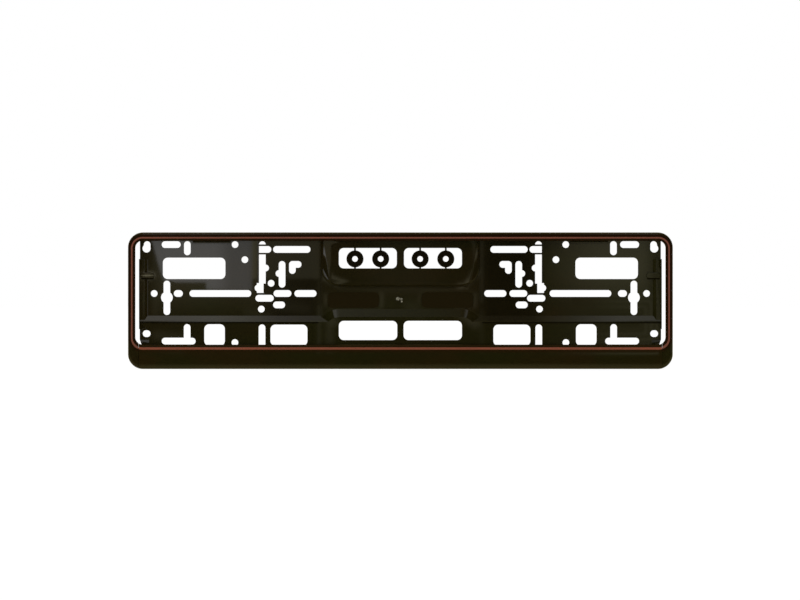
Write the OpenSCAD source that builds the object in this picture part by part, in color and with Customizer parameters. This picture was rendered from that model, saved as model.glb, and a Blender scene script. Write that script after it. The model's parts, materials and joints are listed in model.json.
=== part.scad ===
// Number plate holder: a perforated back moulding with a three-sided frame and lower corner
// blocks, a clip-on bottom strip between the blocks, and a thin coloured line let into both.
// Everything is drawn lying on its back, x along the length, y up the face and z from the back
// plane to the front. upright() then stands it up, front towards -Y, with the origin on the back
// plane at the middle of the slot line. Heights are measured from the bottom edge.

/* [Number plate] */
// Width of the number plate that the holder takes
plate_w = 520; // [512:1:530]
// Height of the number plate
plate_h = 110; // [110:1:118]
// Play between the plate and the stops at its sides and top
plate_play = 0.8; // [0.4:0.1:1.2]
// Height of the ledges on which the plate's lower edge stands
rest_h = 20.2; // [19.6:0.1:20.4]

/* [Frame] */
// Depth of the frame from the back plane to its front face
depth = 12; // [11.5:0.1:16]
// Thickness of the outer wall of the frame
wall = 2.2; // [1.6:0.1:2.4]
// Thickness of the front lip
lip_t = 2.2; // [1.6:0.1:2.4]
// Width of the lip down the two sides
lip_side = 7.2; // [6.8:0.1:7.4]
// Width of the lip along the top
lip_top = 8; // [7.5:0.1:8.3]
// Bevel along the inner edge of the lip
lip_bevel = 1.3; // [0.8:0.1:1.5]
// Radius of the outer corners
corner_r = 14.6; // [12:0.1:16]
// Radius of the corners of the front opening
opening_r = 7.4; // [5:0.1:9]
// Round along the outer front edge
edge_r = 2.5; // [1.5:0.1:2.6]
// Reach of the side stops from the wall towards the plate
stop_reach = 3; // [2:0.1:3.4]
// Thickness of a side stop
stop_t = 1.6; // [1.2:0.1:2.4]
// Pitch of the three stops up each side
stop_pitch = 33; // [24:1:36]

/* [Clip strip] */
// Height of the bottom strip and of the corner blocks beside it
strip_h = 23.8; // [23.2:0.1:24.6]
// Width of a corner block, from the outer edge to the strip's end
block_w = 10.3; // [9.5:0.1:11]
// Gap round the strip where it meets the holder
strip_gap = 0.2; // [0.1:0.05:0.4]
// Distance between neighbouring hooks, of which the strip gets as many as fit
hook_pitch = 66; // [40:1:68]
// Least distance of a hook from the strip's end
hook_end = 20; // [14:1:24]
// Width of a hook
hook_w = 9; // [6:0.5:14]
// Thickness of a hook's leg
hook_t = 1.8; // [1.4:0.1:2.4]
// Reach of a hook's barb past its leg
hook_barb = 1.2; // [0.8:0.1:1.5]
// Height of the lower face of the hooks' legs
hook_h = 10; // [8:0.5:11]
// Room beside, above and behind a hook in its catch
hook_gap = 0.3; // [0.2:0.05:0.5]
// Thickness of the gussets between hooks
gusset_t = 1.4; // [1:0.1:2]
// Height of the gussets over the strip's floor
gusset_h = 8; // [4:0.5:12]

/* [Coloured line] */
// Distance of the line from the outer edge at the sides
line_side = 2.9; // [2.7:0.1:3.1]
// Distance of the line from the outer edge at the top
line_top = 4.4; // [3.5:0.1:4.6]
// Width of the line round the frame
line_w = 1.8; // [1.2:0.1:2]
// Distance of the line from the upper edge of the strip
line_strip = 2.5; // [2:0.1:4]
// Width of the line along the strip
strip_line_w = 2.6; // [1.6:0.1:3.2]
// Outer radius of the line at the corners
line_r = 11.2; // [9:0.1:12]
// Depth of the groove that holds the line
line_deep = 0.6; // [0.3:0.1:0.8]
// Height of the line over the front face
line_proud = 0.2; // [0.1:0.05:0.4]
// Gap between the line and the sides of its groove
line_gap = 0.05; // [0.03:0.01:0.1]

/* [Back plate] */
// Thickness of the back plate
base_t = 2; // [1.6:0.1:2.4]
// Rise of the plate seat over the slot fields
seat_rise = 3.2; // [2.6:0.1:3.6]
// Height of the lower edge of the sloped ledge
ledge_h = 46; // [45.5:0.5:47]
// Height that the sloped ledge takes up
ledge_run = 6; // [4:0.5:6.5]
// Width of the raised fields of the centre panel
centre_w = 150; // [146:1:154]
// Width of the slope down to the slot fields at the sides of the centre panel
step_run = 2.7; // [1.5:0.1:4]
// Gap between the side lip and the edge of the back plate, seen from the front
slit_w = 4; // [3.5:0.1:5]
// Height of the upper end of the side slits under the top edge
slit_top = 6.4; // [5:0.1:7.5]
// Slanted cut that widens a slit at its foot: width and height
foot_cut = [2.9, 8.5];
// Pocket beside that cut, deepest along its upper edge: length, height and depth
foot_pocket = [9, 8.4, 0.9];

/* [Centre panel] */
// Drop of the waist of the centre panel below the plate seat
waist_drop = 2.4; // [1.6:0.1:2.8]
// Height of the upper edge of the centre panel's lower field
waist_low = 50.8; // [50:0.1:51.5]
// Width of the slope from that field up to the waist
waist_run = 7.8; // [5:0.1:8]
// Height of the lower edge of the centre panel's upper field
waist_high = 82.6; // [80:0.1:88]
// Radius of the corners where the waist flares out
waist_r = 16; // [10:1:18]
// Facets down the sides of that field: their lean outwards and the slant of their inner edges
facet = [12.5, 9.2];
// Length of a blank badge recess
badge_w = 50.9; // [40:0.1:56]
// Height of a blank badge recess
badge_h = 15.9; // [10:0.1:17]
// Distance of a badge recess from the middle of the holder
badge_x = 46; // [42:0.5:47]
// Height of the middle of the badge recesses
badge_y = 67.3; // [66:0.1:69]
// Corner radius of a badge recess
badge_r = 5; // [2:0.5:7]
// Depth of a badge recess
badge_deep = 0.5; // [0.2:0.1:0.8]
// Diameter of the gate well in the middle
gate_d = 5; // [3:0.5:8]
// Diameter of the gate pip in its well
gate_pip_d = 1.5; // [1:0.1:2.5]
// Depth of the gate well and height of its pip
gate_deep = 0.5; // [0.3:0.1:0.8]

/* [Side rails] */
// Height of the lower end of the rail beside each slit
rail_low = 39; // [36:0.5:42]
// Distance of the rail's upper end from the top edge
rail_top = 26; // [24:0.5:32]
// Width of the rail
rail_w = 8.6; // [7.8:0.1:8.8]
// How far the rail bulges into the slit
rail_bulge = 0.8; // [0.5:0.1:1.2]
// Rise of the rail over the slot field
rail_rise = 2.2; // [1.5:0.1:2.6]
// Inner side of the rail: width of its shallow foot, width of its steep part and height between them
rail_side = [1.6, 1.4, 0.9];
// Wall left round the hollow behind the rail
rail_wall = 1.6; // [1.2:0.1:2]
// Length of the lug that crosses the rail
lug_len = 13.7; // [11:0.1:15]
// Width of the lug
lug_w = 5.9; // [4:0.1:7]
// Height of the lug over the slot line
lug_up = 17.6; // [14:0.1:22]

/* [Hidden side] */
// Thickness of the ribs behind the plate seat
rib_t = 1.2; // [0.8:0.1:1.6]
// Distances from the middle of the upright ribs between the long rib and the ledge
foot_ribs = [0, 75, 145, 196, 238.5];
// Distances from the middle of the upright ribs behind the centre panel's upper field
head_ribs = [0, 67.5];
// Height of the long rib behind the foot of the seat, over the hooks
foot_rib_y = 15.5; // [14.5:0.1:16]
// Height of the long rib behind the centre panel's upper field
head_rib_y = 91; // [88:0.5:94]

/* [Core slots behind the top lip] */
// Middle and length of the core slot of each centre window
core_centre = [31.6, 44];
// Middle and length of the core slot beside the centre panel
core_inner = [106.2, 36];
// Middle and length of the core slot over the big window
core_outer = [184.6, 37];
// Middle and length of the core slot by the corner
core_end = [228, 26];
// Width of the back plate left between a core slot and the opening's edge
core_land = 1.2; // [0.8:0.1:1.6]
// Reach of the relief in front of the outer core slot
relief_reach = 3; // [2:0.1:4]
// Depth of that relief
relief_deep = 0.8; // [0.4:0.1:1]

/* [Holes on the slot line] */
// Height of the slot line
slot_h = 73.75; // [73:0.05:74.5]
// Width of the slots and diameter of the small round holes
slot_w = 6.6; // [5.5:0.1:6.8]
// Long mounting slot: middle and length
long_slot = [176.2, 60.5];
// Short slot between the long slot and the cross keyhole: middle and length
short_slot = [217.3, 8.9];
// Two slots next to the centre panel: middle and length of each
inner_slot = [92.9, 21.7];
inner_slot_b = [115.4, 17.5];
// Slot under the column slot: middle, length and drop below the line
under_slot = [132.9, 18, 4.65];
// Slot lower still: middle, length and drop below the line
lower_slot = [118.7, 11.8, 11.15];
// Round hole at the far end of the line: distance from the outer edge
end_hole = 25.1; // [24:0.1:26]
// Round hole under the column slot: distance from the middle, drop below the line
drop_hole = [136.1, 15.25];
// Round hole between the column slots: distance from the middle, rise over the line
rise_hole = [126.5, 10];
// Cross keyhole: distance from the outer edge, lower end, upper end and eye under the line
cross_key = [37.5, 21.05, 12.55, 3.95];
// Diameter of the eye of the cross keyhole
cross_eye_d = 11.6; // [9:0.1:12]

/* [Holes measured from the top edge] */
// Distance of the top row of holes from the top edge
top_row = 11.8; // [11.6:0.1:12.2]
// Corner keyhole: distance of its slot from the outer edge, and of its eye
corner_key = [18.2, 17.6];
// Corner keyhole: distance of its eye from the top edge
corner_eye = 15.6; // [14:0.1:17]
// Diameter of the eye of the corner keyhole
corner_eye_d = 8; // [7:0.1:9]
// Slot of the top row: middle and length
top_slot = [224.3, 18.7];
// Upright slot of the top row: distance from the middle, lower end from the top edge
top_upright = [208.5, 22.2];
// Distance of the two outer round holes from the middle
outer_hole = 161.8; // [155:0.1:163.5]
// Inner round hole: distance from the middle and from the top edge
inner_hole = [152.2, 26.55];
// Slot next to the centre panel: middle, length and distance from the top edge
upper_slot = [106.3, 36.6, 16.55];
// Second column slot: distance from the middle, upper and lower end
second_column = [115.8, 27.9, 53.9];
// Eye of the second column slot: distance from the top edge and shift away from the middle
second_eye = [40.1, 3.05];
// Angle slot: distance of its upright from the middle, upper end, lower end and its arm's length
angle_slot = [105.7, 27.9, 40.4, 12.2];

/* [Column slot] */
// Distance of the column slot from the middle
column_x = 135.1; // [134.8:0.1:135.6]
// Distance that the foot of the column slot is set outwards
column_shift = 2.1; // [1.5:0.1:2.5]
// Height of that foot over the slot line
column_foot = 10.2; // [8:0.1:12]
// Lower end of the column slot over the slot line
column_low = 0.55; // [0.4:0.05:0.9]
// Upper eye of the column slot: distance from the top edge and shift towards the middle
column_eye = [34.7, 3.25];
// Lower eye of the column slot: rise over the slot line and shift away from the middle
column_foot_eye = [5.35, 2.15];
// Thickness of the two webs across the column slot
column_web = 1.6; // [1.2:0.1:2]
// Length of the arm between the webs, from the column's middle
column_arm = 8.8; // [8:0.1:9.2]

// Bead along the outer side of the column slot: width, height and gap to the slot
column_bead = [1.1, 0.6, 0.2];

/* [Holes near the strip] */
// Corner hole: distance of its middle from the outer edge, length and height
foot_hole = [17.9, 7.7, 34.5];
// Inverted T: middle and length of its foot, and height of the foot's middle
tee_foot = [216.8, 33.2, 27.2];
// Inverted T: distance of its stem from the middle and the height of its upper end
tee_stem = [208.5, 43.8];
// Height of the round hole that the strip partly covers
half_hole = 25.8; // [25:0.1:27]
// Lower column slot: distance from the middle, lower and upper end
low_column = [135.3, 17.5, 43.5];

/* [Windows] */
// Corner radius of the windows
window_r = 4.8; // [3:0.1:5.5]
// Big window: inner end, outer end, upper and lower edge from the top edge
big_window = [171.2, 232.5, 24.6, 45.5];
// Square window: inner end, outer end, lower and upper edge
square_window = [171.6, 191.8, 22.6, 43.7];
// Lower window: inner end, outer end, lower and upper edge
lower_window = [90.9, 127.1, 22.6, 43.3];
// Lower centre window: inner end, outer end, lower and upper edge
foot_window = [3.1, 60.2, 28.2, 47];
// Upper centre window: inner end, outer end, upper and lower edge from the top edge
washer_window = [3.5, 60.2, 15.2, 35.1];

/* [Break-off washers] */
// Outer diameter of a washer
washer_d = 16.7; // [14:0.1:17.5]
// Bore of a washer
washer_bore = 5.6; // [4:0.1:6.4]
// Diameter of the raised collar round the bore
washer_collar = 10.4; // [9:0.1:12]
// Thickness of a washer, whose collar comes up to the plate seat
washer_t = 1.4; // [1:0.1:1.6]
// Distance between the two washers of a window
washer_pitch = 25.1; // [20:0.1:28]
// Distance of the washers below the middle of their window
washer_drop = 0.7; // [0:0.1:1]
// Width of the webs that hold a washer
web_w = 1.8; // [0.6:0.1:2]
// Thickness of those webs
web_t = 1; // [0.6:0.1:1.6]

/* [Ledges under the plate] */
// Distances of the ledges from the middle
ledge_x = [31.6, 109, 152, 216.8];
// Width of a ledge
ledge_w = 12; // [8:0.5:16]
// Thickness of a ledge
ledge_t = 1.6; // [1.2:0.1:2]
// Gap between a ledge's front and the strip
ledge_gap = 0.6; // [0.3:0.1:1]

/* [Hidden] */
$fn = 48;
eps = 0.5;
lip_land = 0.7;
bar_land = 0.05;
frame_w = plate_w + 2 * (plate_play + stop_reach + wall);
frame_h = rest_h + strip_gap + plate_h + plate_play + wall;
half_w = frame_w / 2;
lip_z = depth - lip_t;
seat_z = base_t + seat_rise;
waist_z = seat_z - waist_drop;
centre_x = centre_w / 2;
panel_x = centre_x + step_run;
base_x = half_w - lip_side - slit_w;
seam_x = half_w - block_w;
core_top = frame_h - wall;
ledge_top = ledge_h + ledge_run;
rail_x = base_x + rail_bulge - rail_w;
rail_shoulder = rail_side[0] + rail_side[1];
rim_band = edge_r + lip_land;
opening_top = frame_h - lip_top;
core_low = opening_top + core_land;
top_y = frame_h - top_row;
upper_y = frame_h - upper_slot[2];
line_low = strip_h - line_strip;
catch_z = seat_rise - hook_gap;
hook_n = floor(2 * (seam_x - hook_end) / hook_pitch) + 1;

// Stands the drawing up and puts the origin on the slot line
module upright() translate([0, 0, -slot_h]) rotate([90, 0, 0]) children();

module both_ends() {
    children();
    mirror([1, 0, 0]) children();
}

// Rectangle with round corners, its arcs true circles
module round_rect(x0, y0, x1, y1, r) {
    translate([x0 + r, y0]) square([x1 - x0 - 2 * r, y1 - y0]);
    translate([x0, y0 + r]) square([x1 - x0, y1 - y0 - 2 * r]);
    for (x = [x0 + r, x1 - r], y = [y0 + r, y1 - r]) translate([x, y]) circle(r);
}

// The outline of the frame, drawn in by a distance
module outline(inset) {
    round_rect(-half_w + inset, inset, half_w - inset, frame_h - inset, corner_r - inset);
}

// The front opening between the lips and the strip
module opening() {
    round_rect(-half_w + lip_side, strip_h, half_w - lip_side, frame_h - lip_top, opening_r);
}

// A level slot by its middle and length, and an upright slot by its ends
module slot(x, y, length) {
    run = length - slot_w;
    translate([x - run / 2, y - slot_w / 2]) square([run, slot_w]);
    for (side = [-1, 1]) translate([x + side * run / 2, y]) circle(d = slot_w);
}

module upright_slot(x, low, high) {
    translate([x, (low + high) / 2]) rotate(90) slot(0, 0, high - low);
}

module round_hole(x, y, d = slot_w) translate([x, y]) circle(d = d);

// Section of the rim: x inwards from the outer edge, y from the back plane to the front
module rim_section() {
    difference() {
        union() {
            square([wall, depth]);
            translate([0, lip_z]) square([rim_band, lip_t]);
        }
        difference() {
            translate([-1, depth - edge_r]) square([edge_r + 1, edge_r + 1]);
            translate([edge_r, depth - edge_r]) circle(edge_r);
        }
    }
}

// Section of the cut that bevels the lip: x outwards from the opening's edge
module bevel_section() {
    polygon([[-eps, depth - lip_bevel - eps], [lip_bevel + eps, depth + eps], [-eps, depth + eps]]);
}

// Runs a section round a rectangle: bars along its sides and turned corners between them.
// The section's x points inwards, or outwards where outwards is true
module run_round(x0, y0, x1, y1, r, outwards = false) {
    flip = outwards ? 1 : 0;
    for (side = [[x0, y1 - r, 0, y1 - y0], [x1 - r, y1, -90, x1 - x0],
                 [x1, y0 + r, 180, y1 - y0], [x0 + r, y0, 90, x1 - x0]])
        translate([side[0], side[1], 0]) rotate(side[2]) rotate([90, 0, 0])
            linear_extrude(side[3] - 2 * r) mirror([flip, 0]) children();
    for (corner = [[x1 - r, y1 - r, 0], [x0 + r, y1 - r, 90], [x0 + r, y0 + r, 180], [x1 - r, y0 + r, 270]])
        translate([corner[0], corner[1], 0]) rotate(corner[2])
            rotate_extrude(angle = 90) translate([r, 0]) mirror([1 - flip, 0]) children();
}

// The coloured line seen from the front, drawn in by a gap
module line_ring(gap) {
    difference() {
        round_rect(-half_w + line_side + gap, line_low - strip_line_w + gap,
                   half_w - line_side - gap, frame_h - line_top - gap, line_r - gap);
        round_rect(-half_w + line_side + line_w - gap, line_low - gap,
                   half_w - line_side - line_w + gap, frame_h - line_top - line_w + gap,
                   line_r - line_w + gap);
    }
}

// The whole rim and lip, with the corner blocks and the strip still in one
module rim() {
    difference() {
        union() {
            run_round(-half_w, 0, half_w, frame_h, corner_r) rim_section();
            translate([0, 0, lip_z]) linear_extrude(lip_t) difference() {
                outline(rim_band - eps);
                opening();
            }
        }
        run_round(-half_w + lip_side, strip_h, half_w - lip_side, opening_top, opening_r, outwards = true)
            bevel_section();
        translate([0, 0, depth - line_deep]) linear_extrude(line_deep + 1) line_ring(0);
    }
}

// The space of the clip strip, with a gap taken off its ends and its back
module strip_space(gap) {
    translate([-seam_x + gap, -1, seat_z + gap])
        cube([2 * (seam_x - gap), strip_h + opening_r + 1, depth]);
}

// One slot field: its plate, the sloped ledge under it and the plate seat below the ledge
module wing() {
    inner_x = panel_x - eps;
    difference() {
        translate([inner_x, ledge_top, 0]) cube([half_w, frame_h, base_t]);
        translate([base_x, rest_h, -1])
            cube([half_w - wall - base_x, frame_h - slit_top - rest_h, base_t + 2]);
    }
    translate([column_x + slot_w / 2 + column_bead[2], slot_h + column_foot, base_t - eps])
        cube([column_bead[0], frame_h - slot_h - column_foot, column_bead[1] + eps]);
    translate([centre_x - waist_r, 0, 0]) rotate([90, 0, 90]) linear_extrude(base_x - centre_x + waist_r)
        drop_band(ledge_h, ledge_run, 0);
    translate([-eps, 0, seat_rise]) cube([base_x + eps, ledge_h, base_t]);
    translate([0, 0, seat_rise]) cube([seam_x + wall / 2, rest_h, base_t]);
}

// Section of a slope of even thickness that falls from the plate seat to a lower level
module drop_band(start, run, low) {
    polygon([[start - eps, seat_rise], [start, seat_rise], [start + run, low], [start + run + eps, low],
             [start + run + eps, low + base_t], [start + run, low + base_t], [start, seat_z],
             [start - eps, seat_z]]);
}

// Raised field of the centre panel with a slope all round it
module raised_field(y0, y1, run, low) {
    translate([0, 0, seat_rise]) linear_extrude(base_t) round_rect(-centre_x, y0, centre_x, y1, waist_r);
    run_round(-centre_x, y0, centre_x, y1, waist_r, outwards = true) drop_band(0, run, low);
}

// Centre panel: a lower and an upper raised field with the waist between them
module centre_panel() {
    waist_back = waist_z - base_t;
    below = ledge_h - 3 * waist_r;
    above = frame_h + waist_r;
    intersection() {
        raised_field(waist_high, above + 2 * waist_r, step_run, 0);
        translate([-half_w, waist_high - step_run - eps, 0]) cube([frame_w, frame_h, depth]);
    }
    intersection() {
        raised_field(below, waist_low, waist_run, waist_back);
        translate([-panel_x, ledge_h - eps, 0]) cube([2 * panel_x, frame_h, depth]);
    }
    translate([0, 0, waist_back]) linear_extrude(base_t) difference() {
        translate([-panel_x, ledge_h - eps]) square([2 * panel_x, waist_high + waist_r - ledge_h]);
        round_rect(-centre_x - step_run + eps, waist_high - step_run + eps, centre_x + step_run - eps,
                   above, waist_r + step_run - eps);
        round_rect(-centre_x - waist_run + eps, below, centre_x + waist_run - eps,
                   waist_low + waist_run - eps, waist_r + waist_run - eps);
    }
}

// Ribs on the hidden side, from the plate seat's back to the back plane
module back_ribs() {
    rib_h = seat_rise + eps;
    for (x = foot_ribs)
        translate([x - rib_t / 2, foot_rib_y, 0]) cube([rib_t, ledge_h - foot_rib_y, rib_h]);
    for (x = head_ribs) translate([x - rib_t / 2, waist_high, 0]) cube([rib_t, frame_h - waist_high, rib_h]);
    translate([-eps, foot_rib_y - rib_t / 2, 0]) cube([seam_x + eps, rib_t, rib_h]);
    translate([-eps, head_rib_y - rib_t / 2, 0]) cube([centre_x + eps, rib_t, rib_h]);
}

// Slanted cut that leaves a facet down one side of the centre panel's upper field
module facet_cut() {
    translate([centre_x, opening_top, seat_z]) rotate([0, 0, -facet[1]]) rotate([0, facet[0], 0])
        translate([0, waist_high - opening_top, 0]) cube([waist_r / 2, opening_top - waist_high, waist_drop]);
}

// Rail along the slit, hollow from behind, and the lug that crosses it
module rail() {
    foot = rail_side[0];
    top = base_t + rail_rise;
    run = frame_h - rail_top - rail_low;
    translate([rail_x, rail_low + run, 0]) rotate([90, 0, 0]) linear_extrude(run)
        polygon([[0, 0], [rail_w, 0], [rail_w, top], [rail_shoulder, top], [foot, base_t + rail_side[2]],
                 [0, base_t]]);
    translate([0, 0, base_t - eps]) linear_extrude(seat_rise + eps) lug_outline();
}

module lug_outline() {
    x = base_x - eps - lug_len / 2;
    round_rect(x - lug_len / 2, slot_h + lug_up - lug_w / 2, x + lug_len / 2, slot_h + lug_up + lug_w / 2,
               lug_w / 2 - bar_land);
}

module rail_hollow() {
    translate([rail_x + rail_shoulder, rail_low + rail_wall, -1])
        cube([rail_w - rail_shoulder - rail_wall, frame_h - rail_top - rail_low - 2 * rail_wall,
              base_t + rail_rise - rail_wall + 1]);
}

// Corner block: the wall that the strip butts against and the shelf that closes the block
module block() {
    translate([seam_x, 0, 0]) cube([wall, rest_h, lip_z + eps]);
    translate([seam_x, rest_h - wall, 0]) cube([block_w, wall, lip_z + eps]);
}

// Stops that centre the plate between the side walls
module side_stops() {
    middle = rest_h + plate_h / 2;
    for (step = [-1, 0, 1])
        translate([half_w - wall - stop_reach, middle + step * stop_pitch - stop_t / 2, base_t])
            cube([stop_reach + wall / 2, stop_t, lip_z - base_t + eps]);
}

// Ledges on which the plate's lower edge stands
module ledges() {
    for (x = ledge_x)
        translate([x - ledge_w / 2, rest_h - ledge_t, seat_z - eps])
            cube([ledge_w, ledge_t, lip_z - ledge_gap - seat_z + eps]);
}

module holes_on_line() {
    key_x = half_w - cross_key[0];
    slot(long_slot[0], slot_h, long_slot[1]);
    slot(short_slot[0], slot_h, short_slot[1]);
    slot(inner_slot[0], slot_h, inner_slot[1]);
    slot(inner_slot_b[0], slot_h, inner_slot_b[1]);
    slot(under_slot[0], slot_h - under_slot[2], under_slot[1]);
    slot(lower_slot[0], slot_h - lower_slot[2], lower_slot[1]);
    round_hole(half_w - end_hole, slot_h);
    round_hole(drop_hole[0], slot_h - drop_hole[1]);
    round_hole(rise_hole[0], slot_h + rise_hole[1]);
    upright_slot(key_x, slot_h - cross_key[1], slot_h + cross_key[2]);
    round_hole(key_x, slot_h - cross_key[3], cross_eye_d);
}

module holes_from_top() {
    slot(top_slot[0], top_y, top_slot[1]);
    upright_slot(top_upright[0], frame_h - top_upright[1], top_y + slot_w / 2);
    round_hole(outer_hole, top_y);
    upright_slot(half_w - corner_key[0], frame_h - corner_eye - slot_w / 2, top_y + slot_w / 2);
    round_hole(half_w - corner_key[1], frame_h - corner_eye, corner_eye_d);
    round_hole(inner_hole[0], frame_h - inner_hole[1]);
    slot(upper_slot[0], upper_y, upper_slot[1]);
    upright_slot(second_column[0], frame_h - second_column[2], frame_h - second_column[1]);
    round_hole(second_column[0] + second_eye[1], frame_h - second_eye[0]);
    upright_slot(angle_slot[0], frame_h - angle_slot[2], frame_h - angle_slot[1]);
    slot(angle_slot[0] + (slot_w - angle_slot[3]) / 2, frame_h - angle_slot[1] - slot_w / 2, angle_slot[3]);
}

// Column slot: a shaft crossed by two webs, with an arm between them, two eyes and an offset foot
module column() {
    foot_y = slot_h + column_foot;
    foot_x = column_x + column_shift;
    difference() {
        union() {
            translate([column_x - slot_w / 2, foot_y - eps]) square([slot_w, top_y - foot_y + eps]);
            round_hole(column_x, top_y);
        }
        for (y = [upper_y - slot_w / 2 - column_web, upper_y + slot_w / 2])
            translate([column_x - slot_w, y]) square([2 * slot_w, column_web]);
    }
    translate([column_x - column_arm + slot_w / 2, upper_y - slot_w / 2])
        square([column_arm, slot_w]);
    round_hole(column_x - column_arm + slot_w / 2, upper_y);
    translate([foot_x - slot_w / 2, slot_h + column_low]) square([slot_w, column_foot - column_low]);
    round_hole(column_x - column_eye[1], frame_h - column_eye[0]);
    round_hole(foot_x + column_foot_eye[1], slot_h + column_foot_eye[0]);
}

module holes_near_strip() {
    slot(half_w - foot_hole[0], foot_hole[2], foot_hole[1]);
    slot(tee_foot[0], tee_foot[2], tee_foot[1]);
    upright_slot(tee_stem[0], tee_foot[2] - slot_w / 2, tee_stem[1]);
    round_hole(outer_hole, half_hole);
    upright_slot(low_column[0], low_column[1], low_column[2]);
}

module windows() {
    round_rect(big_window[0], frame_h - big_window[3], big_window[1], frame_h - big_window[2], window_r);
    round_rect(square_window[0], square_window[2], square_window[1], square_window[3], window_r);
    round_rect(lower_window[0], lower_window[2], lower_window[1], lower_window[3], window_r);
    round_rect(foot_window[0], foot_window[2], foot_window[1], foot_window[3], window_r);
    round_rect(washer_window[0], frame_h - washer_window[3], washer_window[1], frame_h - washer_window[2],
               window_r);
}

// Slots behind the top lip, left by the cores that form its back
module core_slots() {
    for (core = [core_centre, core_inner, core_outer, core_end])
        translate([core[0] - core[1] / 2, core_low]) square([core[1], core_top - core_low]);
}

// Slanted cut at the foot of the slit and the pocket beside it
module foot_cuts() {
    translate([0, 0, -1]) linear_extrude(seat_z + 2)
        polygon([[base_x - foot_cut[0], rest_h], [base_x + eps, rest_h], [base_x + eps, rest_h + foot_cut[1]],
                 [base_x, rest_h + foot_cut[1]]]);
    translate([base_x - foot_pocket[0], rest_h, 0]) rotate([90, 0, 90]) linear_extrude(foot_pocket[0] + eps)
        polygon([[0, seat_z], [foot_pocket[1], seat_z - foot_pocket[2]], [foot_pocket[1], seat_z + eps],
                 [0, seat_z + eps]]);
}

// Everything that is cut through one half of the back plate
module half_cuts() {
    translate([0, 0, -1]) linear_extrude(seat_z + 2) {
        holes_on_line();
        holes_from_top();
        column();
        holes_near_strip();
        windows();
        core_slots();
    }
    translate([core_outer[0] - core_outer[1] / 2, opening_top - relief_reach, base_t - relief_deep])
        cube([core_outer[1], relief_reach + core_land + eps, relief_deep + 1]);
    translate([badge_x, badge_y, waist_z - badge_deep]) linear_extrude(badge_deep + 1)
        round_rect(-badge_w / 2, -badge_h / 2, badge_w / 2, badge_h / 2, badge_r);
    rail_hollow();
    foot_cuts();
    facet_cut();
}

// Catches for the hooks of the strip
module catches() {
    for (x = hook_places())
        translate([x - hook_w / 2 - hook_gap, hook_h - hook_barb, seat_rise - 1])
            cube([hook_w + 2 * hook_gap, hook_barb + hook_t + hook_gap, base_t + 2]);
}

function hook_places() = [for (i = [0 : hook_n - 1]) (i - (hook_n - 1) / 2) * hook_pitch];

// Break-off washer, held in its window by two thin webs
module washer(x) {
    middle = frame_h - (washer_window[2] + washer_window[3]) / 2 - washer_drop;
    reach = (washer_window[3] - washer_window[2]) / 2 + eps;
    translate([x, middle, 0]) difference() {
        union() {
            translate([0, 0, seat_rise]) cylinder(d = washer_d, h = washer_t);
            translate([0, 0, seat_rise]) cylinder(d = washer_collar, h = base_t);
            translate([-web_w / 2, washer_drop - reach, seat_rise]) cube([web_w, 2 * reach, web_t]);
        }
        translate([0, 0, seat_rise - 1]) cylinder(d = washer_bore, h = base_t + 2);
    }
}

module gate_well() {
    translate([0, badge_y, waist_z - gate_deep]) difference() {
        cylinder(d = gate_d, h = gate_deep + 1);
        translate([0, 0, -1]) cylinder(d = gate_pip_d, h = 1 + gate_deep);
    }
}

module holder() color([0.12, 0.11, 0.08]) upright() {
    difference() {
        union() {
            difference() {
                rim();
                strip_space(0);
            }
            intersection() {
                linear_extrude(depth) outline(wall / 2);
                union() {
                    centre_panel();
                    both_ends() {
                        wing();
                        back_ribs();
                        block();
                        side_stops();
                    }
                }
            }
            both_ends() {
                rail();
                ledges();
            }
        }
        both_ends() half_cuts();
        catches();
        gate_well();
    }
    middle_x = (washer_window[0] + washer_window[1]) / 2;
    both_ends() for (side = [-1, 1]) washer(middle_x + side * washer_pitch / 2);
}

// Hook section: x from the back plane to the front, y up the leg
module hook_section() {
    tip_z = catch_z - hook_t;
    polygon([[lip_z + eps, 0], [lip_z + eps, hook_t], [catch_z, hook_t], [catch_z, hook_t + hook_barb],
             [tip_z, hook_t / 2], [tip_z, 0]]);
}

module gusset_section() {
    foot_z = seat_z + strip_gap + 1;
    polygon([[foot_z, 0], [lip_z + eps, 0], [lip_z + eps, gusset_h], [lip_z, gusset_h]]);
}

// Draws a section of x = depth and y = height across the strip, centred on a place along it
module across(x, thickness) {
    translate([x + thickness / 2, 0, 0]) rotate([0, -90, 0]) linear_extrude(thickness) children();
}

module clip_strip() color([0.11, 0.09, 0.02]) upright() {
    intersection() {
        rim();
        strip_space(strip_gap);
    }
    for (x = hook_places()) across(x, hook_w) translate([0, hook_h]) hook_section();
    for (x = hook_places()) for (side = [-1, 1])
        across(x + side * hook_pitch / 4, gusset_t) translate([0, wall - eps]) gusset_section();
}

// The bead of the coloured line, from the floor of its groove to just over the front face
module line_bead() {
    translate([0, 0, depth - line_deep]) linear_extrude(line_deep + line_proud) line_ring(line_gap);
}

module frame_line() color([0.45, 0.25, 0.18]) upright() {
    difference() {
        line_bead();
        strip_space(-line_gap);
    }
}

module strip_line() color([0.47, 0.28, 0.2]) upright() {
    intersection() {
        line_bead();
        strip_space(strip_gap + line_gap);
    }
}

holder();
clip_strip();
frame_line();
strip_line();
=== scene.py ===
"""A number plate holder on a white studio floor.

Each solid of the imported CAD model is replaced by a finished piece: the mouldings get softened edges,
the coloured line becomes a domed bead that is swept along its groove, and the hidden side gets its
ejector marks. Sizes are in millimetres as the part is drawn, x along the length, y up the face from
the bottom edge and z from the back plane to the front.
"""

from __future__ import annotations

import json
import logging
import math
from dataclasses import dataclass, field, replace
from enum import Enum
from typing import Any, Callable, Iterable, Sequence, Union

import bmesh
import bpy
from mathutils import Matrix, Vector, noise

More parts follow.
